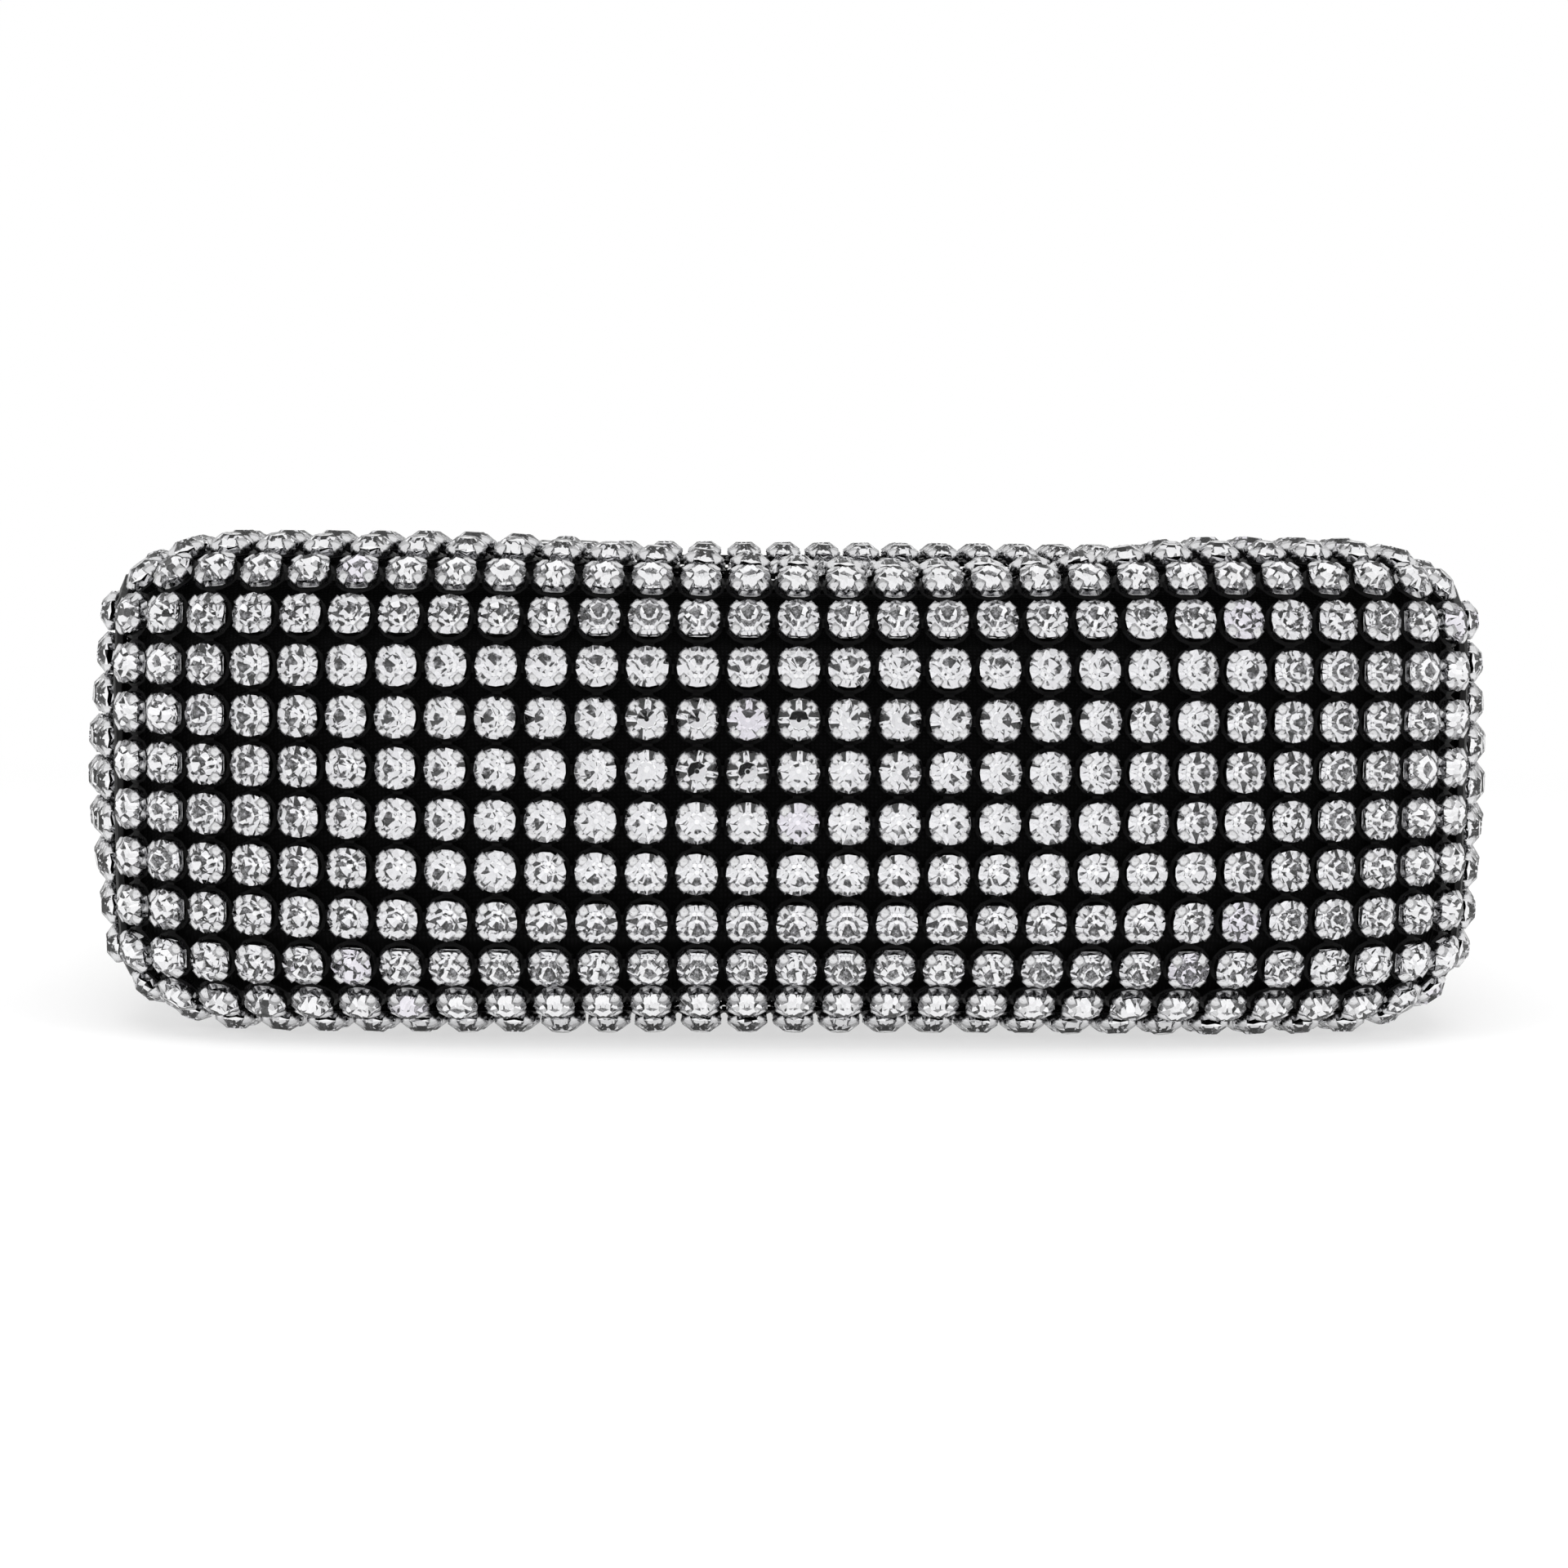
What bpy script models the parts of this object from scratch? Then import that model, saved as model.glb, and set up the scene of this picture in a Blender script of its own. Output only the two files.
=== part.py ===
"""A crystal-net pouch, lying on its back panel with its base towards -Y.

Metres, +Z up, origin under the middle of the pouch. The front panel is on top, and the mouth is at +Y, where a flap
hinged along the back panel's edge stands up and folds its padded lip over the front panel.
"""

import functools
import math

import bmesh
import bpy
import numpy as np
from mathutils import Vector

# Crystals: round stones in four-prong cups, linked edge to edge in a square net
stone_pitch = 0.0070
stone_height = 0.0024
stone_table_width = 0.0030
net_thickness = 0.0008
columns = 29
base_rows = 10
front_rows = 11
back_rows = 15
side_rows = 9
side_columns = 13
flap_rows = 9
lip_rows = 4
rest_stones = 3

# Body, measured over its cloth
body_depth = 0.1186
body_height = 0.0675
base_roll_depth = 0.0230
centre_roll_power = 2.4
end_roll_power = 6.0
base_stretch_share = 0.014
gentle_turn = math.radians(14)
corner_turn = math.radians(44)
corner_turn_power = 8
side_bulge = 0.0018
side_bulge_run = 0.0200
side_crown = 0.0052
side_crown_run = 0.0240
end_droop = 0.0042
end_droop_reach = 0.0160
end_droop_run = 0.0450
column_spread_run = 0.0200
mouth_narrowing = 0.0006

# Front panel: it sags behind the base, and drops towards the mouth where the lip covers it
sag_depth = 0.0080
sag_centre = 0.0280
sag_left_reach = 0.0800
sag_right_reach = 0.0320
sag_start = 0.0080
sag_run = 0.0200
sag_end_run = 0.0480
mouth_drop = 0.0079
mouth_drop_run = 0.0560

# Layers, from the cloth inwards
layer_gap = 0.0003
net_to_padding = 0.0009
padding_thickness = 0.0018
board_thickness = 0.0010
lining_thickness = 0.0006
binding_radius = 0.0017
piping_radius = 0.0009
seam_gap = 0.0014
side_net_inset = 0.0018
side_layer_gap = 0.0008
board_end_inset = 0.0220
board_corner = 0.0130
board_near_inset = 0.0080
stiffener_end_inset = 0.0150
pocket_width = 0.1040
pocket_base_inset = 0.0194
pocket_mouth_inset = 0.0200
pocket_hem_width = 0.0080
pocket_hem_thickness = 0.0016

# Flap and lip
fold_gap = 0.0015
fold_tape_radius = 0.0010
lip_roll_radius = 0.0080
lip_roll_end = math.radians(75)
lip_hem_width = 0.0050
lip_end_turn = math.radians(25)
lip_end_turn_power = 20
flap_stack_inset = 0.0075
flap_end_corner = 0.0040
snap_radius = 0.0050
snap_thickness = 0.0010
snap_spacing = 0.0900
snap_rim = 0.0003

# Values that follow from these
stone_reach = net_thickness + stone_height
half_depth = body_depth / 2
back_level = stone_reach
front_level = back_level + body_height
middle_level = back_level + body_height / 2
half_height = body_height / 2
net_half_width = stone_pitch * columns / 2
seam_reach = net_half_width + seam_gap
padding_inner = net_to_padding + padding_thickness
board_outer = padding_inner + layer_gap
board_inner = board_outer + board_thickness
lining_outer = board_inner + layer_gap
lining_inner = lining_outer + lining_thickness
mouth_y = half_depth - lining_inner - layer_gap
panel_end_y = mouth_y - 2 * binding_radius - layer_gap
lip_net_length = stone_pitch * lip_rows
lip_roll_length = lip_roll_radius * lip_roll_end
lip_roll_y = half_depth - fold_gap - (lip_net_length - lip_roll_length)
front_net_end_y = lip_roll_y - lip_roll_radius - stone_reach - layer_gap
lip_level = front_level - mouth_drop
tube_sides_resolution = 1
line_steps = 240
share_step = 0.001
end_crowding = 0.4
flat_turn = math.radians(0.6)


def smooth(share):
    """0 to 1 with level ends."""
    share = np.clip(share, 0, 1)
    return share * share * (3 - 2 * share)


def turned_edge(reach, turn_at):
    """A line that turns as it goes: how far each arc length has gone across, and how far it has turned away."""
    arc = np.linspace(0, reach, line_steps)
    turn = turn_at(arc / reach)
    step = np.diff(arc)
    across = np.concatenate([[0], np.cumsum(np.cos((turn[1:] + turn[:-1]) / 2) * step)])
    away = np.concatenate([[0], np.cumsum(np.sin((turn[1:] + turn[:-1]) / 2) * step)])
    return arc, across, away


base_arc, base_across, base_away = turned_edge(
    seam_reach, lambda share: gentle_turn * share + corner_turn * share**corner_turn_power
)
lip_arc, lip_across, lip_droop = turned_edge(
    net_half_width, lambda share: lip_end_turn * share**lip_end_turn_power
)
seam_x = base_across[-1]
seam_y = base_away[-1] - half_depth


def body_half_width(y):
    """Half the body's width at this depth, from the base seam to the mouth."""
    bulged = seam_x + side_bulge * np.sin(math.pi / 2 * np.clip((y - seam_y) / side_bulge_run, 0, 1))
    past = (y - seam_y - side_bulge_run) / (mouth_y - seam_y - side_bulge_run)
    return bulged - mouth_narrowing * smooth(past)


def drop_to_mouth(y):
    """How far the front panel's edge has come down towards the lip at this depth."""
    return mouth_drop * smooth((y - front_net_end_y + mouth_drop_run) / mouth_drop_run)


def droop(reach, y):
    """How far the front and back panels' ends turn in towards the side panels, fading out towards the mouth."""
    towards_seam = smooth((abs(reach) - seam_reach + end_droop_reach) / end_droop_reach)
    return end_droop * towards_seam * smooth((panel_end_y - y) / end_droop_run)


def sag(x, y, setback):
    """How far the front panel hangs down, deepest behind the base and right of the middle."""
    offset = x - sag_centre
    reach = np.where(offset < 0, sag_left_reach, sag_right_reach)
    across = np.cos(math.pi / 2 * np.clip(np.abs(offset) / reach, 0, 1)) ** 2
    begins = smooth((setback - sag_start) / sag_run)
    ends = smooth((front_net_end_y - y) / sag_end_run)
    return sag_depth * across * begins * ends


@functools.lru_cache(maxsize=None)
def girth_line(reach, top):
    """The cloth along one column of stones, from half height at the base round to the mouth."""
    share = min(abs(reach) / seam_reach, 1)
    power = centre_roll_power + (end_roll_power - centre_roll_power) * share**2
    angle = np.linspace(0, math.pi / 2, line_steps)
    setback = base_roll_depth * (1 - np.cos(angle) ** (2 / power))
    rise = half_height * np.sin(angle) ** (2 / power)
    near_y = np.interp(abs(reach), base_arc, base_away) - half_depth
    straight = np.linspace(base_roll_depth, half_depth - near_y, line_steps)[1:]
    setback = np.concatenate([setback, straight])
    rise = np.concatenate([rise, np.full(len(straight), half_height)])
    y = near_y + setback
    beside = math.copysign(np.interp(abs(reach), base_arc, base_across), reach)
    behind = reach / seam_reach * body_half_width(y)
    x = beside + (behind - beside) * smooth(setback / column_spread_run)
    rise = rise * (1 - droop(reach, y) / half_height)
    if top:
        drop = drop_to_mouth(y) * smooth(setback / base_roll_depth) + sag(x, y, setback)
        rise = rise - np.minimum(drop, rise)
        z = middle_level + rise
    else:
        z = middle_level - rise
    points = np.stack([x, y, z], axis=1)
    arc = np.concatenate([[0], np.cumsum(np.linalg.norm(np.diff(points, axis=0), axis=1))])
    return points, arc


def line_point(reach, top, arc_length):
    points, arc = girth_line(reach, top)
    return Vector([np.interp(arc_length, arc, points[:, axis]) for axis in range(3)])


def base_edge_arc(reach):
    """Arc length from half height to the base panel's edge; the net is stretched at the middle of the base."""
    share = min(abs(reach) / seam_reach, 1)
    return stone_pitch * base_rows / 2 * (1 + base_stretch_share * (1 - share**2))


def panel_point(reach, top, share, end_y):
    """A point on the front or back panel, from the base's edge at share 0 to the depth end_y at share 1."""
    points, arc = girth_line(reach, top)
    start = base_edge_arc(reach)
    end = np.interp(end_y, points[:, 1], arc)
    return line_point(reach, top, start + (end - start) * share)


def base_point(reach, share):
    """A point on the base panel, from its lower edge at share 0 to its upper edge at share 1."""
    arc_length = (2 * share - 1) * base_edge_arc(reach)
    return line_point(reach, arc_length > 0, abs(arc_length))


def side_edge_setback(rise_share):
    """How far the side panel's near edge is set back at this share of the half height."""
    rounded = (1 - abs(rise_share) ** end_roll_power) ** (1 / end_roll_power)
    return base_roll_depth * (1 - rounded)


def side_point(along_share, up_share, inset, end_y):
    """A point on the right side panel's cloth; inset is how far its outline lies inside the seam."""
    level_share = 2 * up_share - 1
    edge_share = level_share * (1 - inset / 2 / (half_height - end_droop))
    near_y = seam_y + inset + side_edge_setback(edge_share)
    y = near_y + (end_y - near_y) * along_share
    low = back_level + droop(seam_reach, y) + inset
    high = front_level - droop(seam_reach, y) - drop_to_mouth(y) - inset
    crown = side_crown * (1 - level_share**2) * smooth((y - seam_y) / side_crown_run)
    return Vector((float(body_half_width(y) + crown), y, low + (high - low) * up_share))


def lip_point(reach, arc_length):
    """A point on the lip's cloth, from the fold line at arc length 0 over its rolled near edge."""
    x = math.copysign(np.interp(abs(reach), lip_arc, lip_across), reach)
    droop = np.interp(abs(reach), lip_arc, lip_droop)
    flat_length = half_depth - lip_roll_y
    angle = max(0, arc_length - flat_length) / lip_roll_radius
    y = half_depth - min(arc_length, flat_length) - lip_roll_radius * math.sin(angle)
    z = front_level - lip_roll_radius * (1 - math.cos(angle)) - droop
    return Vector((x, y, z))


def surface_normal(place, a, b):
    """The unit normal where place(a, b) is."""
    across = place(a + share_step, b) - place(a - share_step, b)
    along = place(a, b + share_step) - place(a, b - share_step)
    return across.cross(along).normalized()


# Scene

for old in list(bpy.data.objects):
    bpy.data.objects.remove(old)
pouch = bpy.data.collections.new("crystal_pouch")
bpy.context.scene.collection.children.link(pouch)


def material(name, colour, roughness, metallic=0.0):
    made = bpy.data.materials.new(name)
    made.use_nodes = True
    shader = made.node_tree.nodes["Principled BSDF"]
    shader.inputs["Base Color"].default_value = (*colour, 1)
    shader.inputs["Roughness"].default_value = roughness
    shader.inputs["Metallic"].default_value = metallic
    return made


crystal = material("crystal", (0.86, 0.86, 0.88), 0.05, 0.3)
black_cloth = material("black cloth", (0.012, 0.012, 0.013), 0.9)
black_satin = material("black satin", (0.02, 0.02, 0.022), 0.45)
greyboard = material("greyboard", (0.35, 0.32, 0.28), 0.9)
nickel = material("nickel", (0.72, 0.71, 0.69), 0.25, 1.0)


def add_mesh(name, bm, finish, parent=None):
    mesh = bpy.data.meshes.new(name)
    bm.to_mesh(mesh)
    bm.free()
    mesh.materials.append(finish)
    made = bpy.data.objects.new(name, mesh)
    pouch.objects.link(made)
    if parent:
        made.parent = parent
        made.matrix_parent_inverse = parent.matrix_world.inverted()
    return made


def add_empty(name, place):
    made = bpy.data.objects.new(name, None)
    made.location = place
    pouch.objects.link(made)
    bpy.context.view_layer.update()
    return made


def face_outwards(bm):
    bmesh.ops.recalc_face_normals(bm, faces=bm.faces[:])
    if bm.calc_volume(signed=True) < 0:
        bmesh.ops.reverse_faces(bm, faces=bm.faces[:])


def layer(cells_across, cells_along, place, outside, inner, outer, left_out=()):
    """A sheet between two distances from a surface, whose middle faces outside; returns it with its outer faces."""
    side = math.copysign(1, surface_normal(place, 0.5, 0.5).dot(outside))
    bm = bmesh.new()
    bmesh.ops.create_grid(bm, x_segments=cells_across, y_segments=cells_along, size=1)
    if left_out:
        gone = []
        for face in bm.faces:
            middle = face.calc_center_median()
            cell = (
                int((middle.x + 1) / 2 * cells_across),
                int((middle.y + 1) / 2 * cells_along),
            )
            if cell in left_out:
                gone.append(face)
        bmesh.ops.delete(bm, geom=gone, context="FACES")
    made = bmesh.ops.extrude_face_region(bm, geom=bm.faces[:])
    raised = {item for item in made["geom"] if isinstance(item, bmesh.types.BMVert)}
    for vert in bm.verts:
        a, b = (vert.co.x + 1) / 2, (vert.co.y + 1) / 2
        distance = side * (outer if vert in raised else inner)
        vert.co = place(a, b) + distance * surface_normal(place, a, b)
    outer_faces = [face for face in bm.faces if all(vert in raised for vert in face.verts)]
    face_outwards(bm)
    return bm, outer_faces


def raise_stones(bm, faces, with_tables):
    """A stone on each cell of the net: cut off at its table where with_tables says so, else brought to a point."""
    tables = [face for face in faces if with_tables(face)]
    points = [face for face in faces if not with_tables(face)]
    if points:
        bmesh.ops.poke(bm, faces=points, offset=stone_height, center_mode="MEAN")
    if tables:
        side = (stone_pitch - stone_table_width) / 2
        bmesh.ops.inset_individual(
            bm, faces=tables, thickness=side, depth=stone_height, use_even_offset=True
        )


def flatten_inside(bm):
    """One face for the flat side of a sheet that lies against flat padding."""
    bmesh.ops.dissolve_limit(bm, angle_limit=flat_turn, verts=bm.verts[:], edges=bm.edges[:])


def across_net(share):
    return (2 * share - 1) * net_half_width


def across_padding(share, inset):
    """Across the strip, with the grid's lines drawn towards both ends, where it turns."""
    centred = 2 * share - 1
    drawn = end_crowding * math.sin(math.pi / 2 * centred) + (1 - end_crowding) * centred
    return drawn * (seam_reach - inset)


half_gap_share = layer_gap / 2 / (stone_pitch * base_rows)
near_corner_cells = {(0, 0), (columns - 1, 0)}
base_corner_cells = near_corner_cells | {(0, base_rows - 1), (columns - 1, base_rows - 1)}


# Base crystals: the panel that faces the camera, bulging, with its four corner stones left out at the seams


def base_place(a, b):
    return base_point(across_net(a), half_gap_share + b * (1 - 2 * half_gap_share))


base_mesh, base_faces = layer(
    columns, base_rows, base_place, Vector((0, -1, 0)), 0, net_thickness, base_corner_cells
)
raise_stones(base_mesh, base_faces, lambda face: True)
add_mesh("base_crystals", base_mesh, crystal)


# Front crystals: the sagging top panel, which stops short of the lip


def front_place(a, b):
    return panel_point(across_net(a), True, half_gap_share + b * (1 - half_gap_share), front_net_end_y)


front_mesh, front_faces = layer(
    columns, front_rows, front_place, Vector((0, 0, 1)), 0, net_thickness, near_corner_cells
)
raise_stones(front_mesh, front_faces, lambda face: False)
flatten_inside(front_mesh)
add_mesh("front_crystals", front_mesh, crystal)


# Back crystals: the pouch lies on these; the middle ones have the flat tables that it is measured from


def back_place(a, b):
    return panel_point(across_net(a), False, half_gap_share + b * (1 - half_gap_share), half_depth - fold_gap)


def is_rest_stone(face):
    middle = face.calc_center_median()
    reach = rest_stones * stone_pitch / 2
    return abs(middle.x) < reach and abs(middle.y) < reach


back_mesh, back_faces = layer(
    columns, back_rows, back_place, Vector((0, 0, -1)), 0, net_thickness, near_corner_cells
)
raise_stones(back_mesh, back_faces, is_rest_stone)
flatten_inside(back_mesh)
add_mesh("back_crystals", back_mesh, crystal)


# Side panels: crystals, padding and lining of each gusset, the left a mirror of the right


def side_layer(name, finish, cells_along, cells_up, inset, inner, outer, end_y, mirrored, stones=False):
    def place(a, b):
        point = side_point(a, b, inset, end_y)
        return Vector((-point.x if mirrored else point.x, point.y, point.z))

    outside = Vector((-1 if mirrored else 1, 0, 0))
    bm, faces = layer(cells_along, cells_up, place, outside, inner, outer)
    if stones:
        raise_stones(bm, faces, lambda face: False)
    add_mesh(name, bm, finish)


side_padding_cells = (6, 4)
for side, mirrored in (("left", True), ("right", False)):
    side_layer(
        side + "_side_crystals", crystal, side_columns, side_rows,
        side_net_inset, 0, net_thickness, panel_end_y, mirrored, stones=True,
    )
    side_layer(
        side + "_side_padding", black_cloth, *side_padding_cells,
        padding_inner + side_layer_gap, -padding_inner, -net_to_padding, panel_end_y, mirrored,
    )
    side_layer(
        side + "_side_lining", black_satin, *side_padding_cells,
        lining_inner + side_layer_gap, -lining_inner, -lining_outer, panel_end_y, mirrored,
    )


# Wrap padding and lining: each one strip that runs from the mouth over the front, round the base and under the back

padding_cells_across = 16
padding_cells_round = (7, 5, 5)
lining_cells_across = 10
lining_cells_round = (6, 4, 4)


def wrap_place(reach, cell, front_cells, base_cells, back_cells):
    """A point on the whole strip's cloth, counted in cells from the mouth at the front round to the back."""
    if cell < front_cells:
        return panel_point(reach, True, 1 - cell / front_cells, panel_end_y)
    if cell <= front_cells + base_cells:
        return base_point(reach, 1 - (cell - front_cells) / base_cells)
    return panel_point(reach, False, (cell - front_cells - base_cells) / back_cells, mouth_y)


def wrap_layer(name, finish, cells_across, cells_round, inset, inner, outer):
    def place(a, b):
        return wrap_place(across_padding(a, inset), b * sum(cells_round), *cells_round)

    bm, _ = layer(cells_across, sum(cells_round), place, Vector((0, -1, 0)), inner, outer)
    add_mesh(name, bm, finish)


wrap_layer(
    "wrap_padding", black_cloth, padding_cells_across, padding_cells_round,
    seam_gap + layer_gap, -padding_inner, -net_to_padding,
)
wrap_layer(
    "wrap_lining", black_satin, lining_cells_across, lining_cells_round,
    lining_inner + layer_gap, -lining_inner, -lining_outer,
)


# Tubes: seam piping, mouth binding and fold tapes


def tube(name, points, radius, finish, parent=None):
    curve = bpy.data.curves.new(name, "CURVE")
    curve.dimensions = "3D"
    curve.bevel_depth = radius
    curve.bevel_resolution = tube_sides_resolution
    curve.use_fill_caps = True
    spline = curve.splines.new("POLY")
    spline.points.add(len(points) - 1)
    for point, place in zip(spline.points, points):
        point.co = (*place, 1)
    curve.materials.append(finish)
    made = bpy.data.objects.new(name, curve)
    pouch.objects.link(made)
    if parent:
        made.parent = parent
        made.matrix_parent_inverse = parent.matrix_world.inverted()
    return made


seam_points_before_corner = 4
seam_points_past_corner = 9
seam_crowding = 1.6


def seam_half(top):
    """Along one half of the strip's edge, from half height to the mouth, with its points crowded at the corner."""
    points, arc = girth_line(seam_reach, top)
    end = np.interp(panel_end_y, points[:, 1], arc)
    corner = base_edge_arc(seam_reach) + stone_pitch / 2
    lengths = [corner * (1 - (step / seam_points_before_corner) ** seam_crowding)
               for step in range(seam_points_before_corner, 0, -1)]
    lengths += [corner + (end - corner) * (step / seam_points_past_corner) ** seam_crowding
                for step in range(seam_points_past_corner + 1)]
    return [line_point(seam_reach, top, length) for length in lengths]


def seam_path(sign):
    """Along the edge of the strip, from the mouth over the front, round the base and back under."""
    path = seam_half(True)[:0:-1] + seam_half(False)
    return [Vector((sign * place.x, place.y, place.z)) for place in path]


tube("left_seam_piping", seam_path(-1), piping_radius, black_satin)
tube("right_seam_piping", seam_path(1), piping_radius, black_satin)

binding_depth = (net_to_padding + padding_inner) / 2
binding_y = mouth_y - binding_radius
binding_corner = 2 * binding_radius
binding_corner_steps = 4


def binding_path():
    """Up the left side panel's mouth edge, over the front panel's and down the right one's."""
    half_width = float(body_half_width(binding_y)) - binding_depth
    low = back_level + padding_inner + layer_gap + binding_radius
    high = lip_level - binding_depth
    path = [Vector((half_width, binding_y, low))]
    for step in range(binding_corner_steps + 1):
        angle = math.pi / 2 * step / binding_corner_steps
        x = half_width - binding_corner * (1 - math.cos(angle))
        path.append(Vector((x, binding_y, high - binding_corner * (1 - math.sin(angle)))))
    return [Vector((-place.x, place.y, place.z)) for place in path] + path[::-1]


tube("mouth_binding", binding_path(), binding_radius, black_satin)

flap_hinge = add_empty("flap_hinge", (0, half_depth, back_level))
lip_fold = add_empty("lip_fold", (0, half_depth, front_level))
lip_fold.parent = flap_hinge
lip_fold.matrix_parent_inverse = flap_hinge.matrix_world.inverted()
bpy.context.view_layer.update()


def fold_tape(name, level, parent=None):
    ends = [Vector((sign * net_half_width, half_depth, level)) for sign in (-1, 1)]
    tube(name, ends, fold_tape_radius, black_cloth, parent)


fold_tape("flap_hinge_tape", back_level)
fold_tape("lip_fold_tape", front_level, flap_hinge)


# Plates: boards, flap and lip layers


def plate(name, low, high, corner, finish, parent=None):
    """A flat plate between two corners, with its upright edges rounded; corner 0 leaves them square."""
    bm = bmesh.new()
    bmesh.ops.create_cube(bm, size=1)
    size = Vector(high) - Vector(low)
    middle = (Vector(high) + Vector(low)) / 2
    for vert in bm.verts:
        vert.co = Vector((vert.co.x * size.x, vert.co.y * size.y, vert.co.z * size.z)) + middle
    thin = min(range(3), key=lambda axis: size[axis])
    if corner:
        edges = [
            edge for edge in bm.edges
            if abs((edge.verts[0].co - edge.verts[1].co)[thin]) > size[thin] / 2
        ]
        bmesh.ops.bevel(bm, geom=edges, offset=corner, segments=plate_corner_steps, profile=0.5, affect="EDGES")
    return add_mesh(name, bm, finish, parent)


plate_corner_steps = 3
board_x = seam_x - board_end_inset
board_near_y = seam_y + base_roll_depth - board_near_inset
plate(
    "back_board",
    (-board_x, board_near_y, back_level + board_outer),
    (board_x, mouth_y - layer_gap, back_level + board_inner),
    board_corner, greyboard,
)
stiffener_x = seam_x - stiffener_end_inset
plate(
    "front_stiffener",
    (-stiffener_x, front_net_end_y + lip_hem_width, lip_level - board_inner),
    (stiffener_x, panel_end_y, lip_level - board_outer),
    0, greyboard,
)


def prism(name, outline, half_width, finish, parent=None):
    """A shape with one outline in Y and Z all the way across."""
    bm = bmesh.new()
    verts = [bm.verts.new((-half_width, y, z)) for y, z in outline]
    face = bm.faces.new(verts)
    made = bmesh.ops.extrude_face_region(bm, geom=[face])
    for item in made["geom"]:
        if isinstance(item, bmesh.types.BMVert):
            item.co.x = half_width
    face_outwards(bm)
    return add_mesh(name, bm, finish, parent)


pocket_level = back_level + lining_inner + layer_gap
pocket_mouth_y = mouth_y - pocket_mouth_inset
pocket_low_y = -half_depth + base_roll_depth + pocket_base_inset
prism(
    "slip_pocket",
    [
        (pocket_low_y, pocket_level),
        (pocket_mouth_y, pocket_level),
        (pocket_mouth_y, pocket_level + pocket_hem_thickness),
        (pocket_mouth_y - pocket_hem_width, pocket_level + pocket_hem_thickness),
        (pocket_mouth_y - pocket_hem_width, pocket_level + lining_thickness),
        (pocket_low_y, pocket_level + lining_thickness),
    ],
    pocket_width / 2,
    black_satin,
)


# Flap: crystals on cloth, padding, board and lining, hinged along the back panel's edge


def flap_place(a, b):
    return Vector((across_net(a), half_depth, back_level + fold_gap + b * (body_height - 2 * fold_gap)))


flap_mesh, flap_faces = layer(columns, flap_rows, flap_place, Vector((0, 1, 0)), 0, net_thickness)
raise_stones(flap_mesh, flap_faces, lambda face: False)
flatten_inside(flap_mesh)
add_mesh("flap_crystals", flap_mesh, crystal, flap_hinge)

stack_half_width = net_half_width - flap_stack_inset
flap_low = back_level + fold_gap
flap_high = front_level - fold_gap
for name, outer, inner, finish in (
    ("flap_padding", net_to_padding, padding_inner, black_cloth),
    ("flap_board", board_outer, board_inner, greyboard),
    ("flap_lining", lining_outer, lining_inner, black_satin),
):
    plate(
        name,
        (-stack_half_width, half_depth - inner, flap_low),
        (stack_half_width, half_depth - outer, flap_high),
        flap_end_corner, finish, flap_hinge,
    )


# Lip: a padded roll over the front panel, with two magnet snaps in the channel behind its hem


def lip_place(a, b):
    return lip_point(across_net(a), fold_gap + b * lip_net_length)


lip_mesh, lip_faces = layer(columns, lip_rows, lip_place, Vector((0, 0, 1)), 0, net_thickness)
raise_stones(lip_mesh, lip_faces, lambda face: False)
flatten_inside(lip_mesh)
add_mesh("lip_crystals", lip_mesh, crystal, lip_fold)

padding_radius = lip_roll_radius * math.cos(stone_pitch / lip_roll_radius / 2) - net_to_padding
lip_roll_centre = front_level - lip_roll_radius
panel_top = lip_level - net_to_padding
socket_level = panel_top + layer_gap
disc_level = socket_level + snap_thickness + layer_gap
lip_lining_level = disc_level + snap_thickness + layer_gap
lip_board_level = lip_lining_level + lining_thickness + layer_gap
lip_padding_level = lip_board_level + board_thickness + layer_gap
lip_low = panel_top + 2 * layer_gap
lip_near_y = lip_roll_y - padding_radius
channel_y = lip_near_y + lip_hem_width
lip_roll_steps = 6


def lip_outline():
    """The lip's padding from the side: flat top, rounded near edge, and a channel under it for board and snaps."""
    outline = [(mouth_y, lip_padding_level), (mouth_y, lip_roll_centre + padding_radius)]
    for step in range(lip_roll_steps + 1):
        angle = math.pi / 2 * step / lip_roll_steps
        y = lip_roll_y - padding_radius * math.sin(angle)
        outline.append((y, lip_roll_centre + padding_radius * math.cos(angle)))
    outline.append((lip_near_y, lip_low))
    outline.append((channel_y, lip_low))
    outline.append((channel_y, lip_padding_level))
    return outline


prism("lip_padding", lip_outline(), stack_half_width, black_cloth, lip_fold)
for name, level, thickness, finish in (
    ("lip_board", lip_board_level, board_thickness, greyboard),
    ("lip_lining", lip_lining_level, lining_thickness, black_satin),
):
    plate(
        name,
        (-stack_half_width, channel_y + layer_gap, level),
        (stack_half_width, mouth_y, level + thickness),
        0, finish, lip_fold,
    )

snap_y = panel_end_y - layer_gap - snap_radius
snap_sides = 16


def snap(name, x, level, parent=None):
    """A flat magnet disc in a nickel shell, its edge eased."""
    bm = bmesh.new()
    bmesh.ops.create_cone(
        bm, cap_ends=True, segments=snap_sides, radius1=snap_radius, radius2=snap_radius, depth=snap_thickness
    )
    rims = [edge for edge in bm.edges if abs(edge.verts[0].co.z - edge.verts[1].co.z) < snap_thickness / 2]
    bmesh.ops.bevel(bm, geom=rims, offset=snap_rim, segments=1, affect="EDGES")
    for vert in bm.verts:
        vert.co += Vector((x, snap_y, level + snap_thickness / 2))
    add_mesh(name, bm, nickel, parent)


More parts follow.
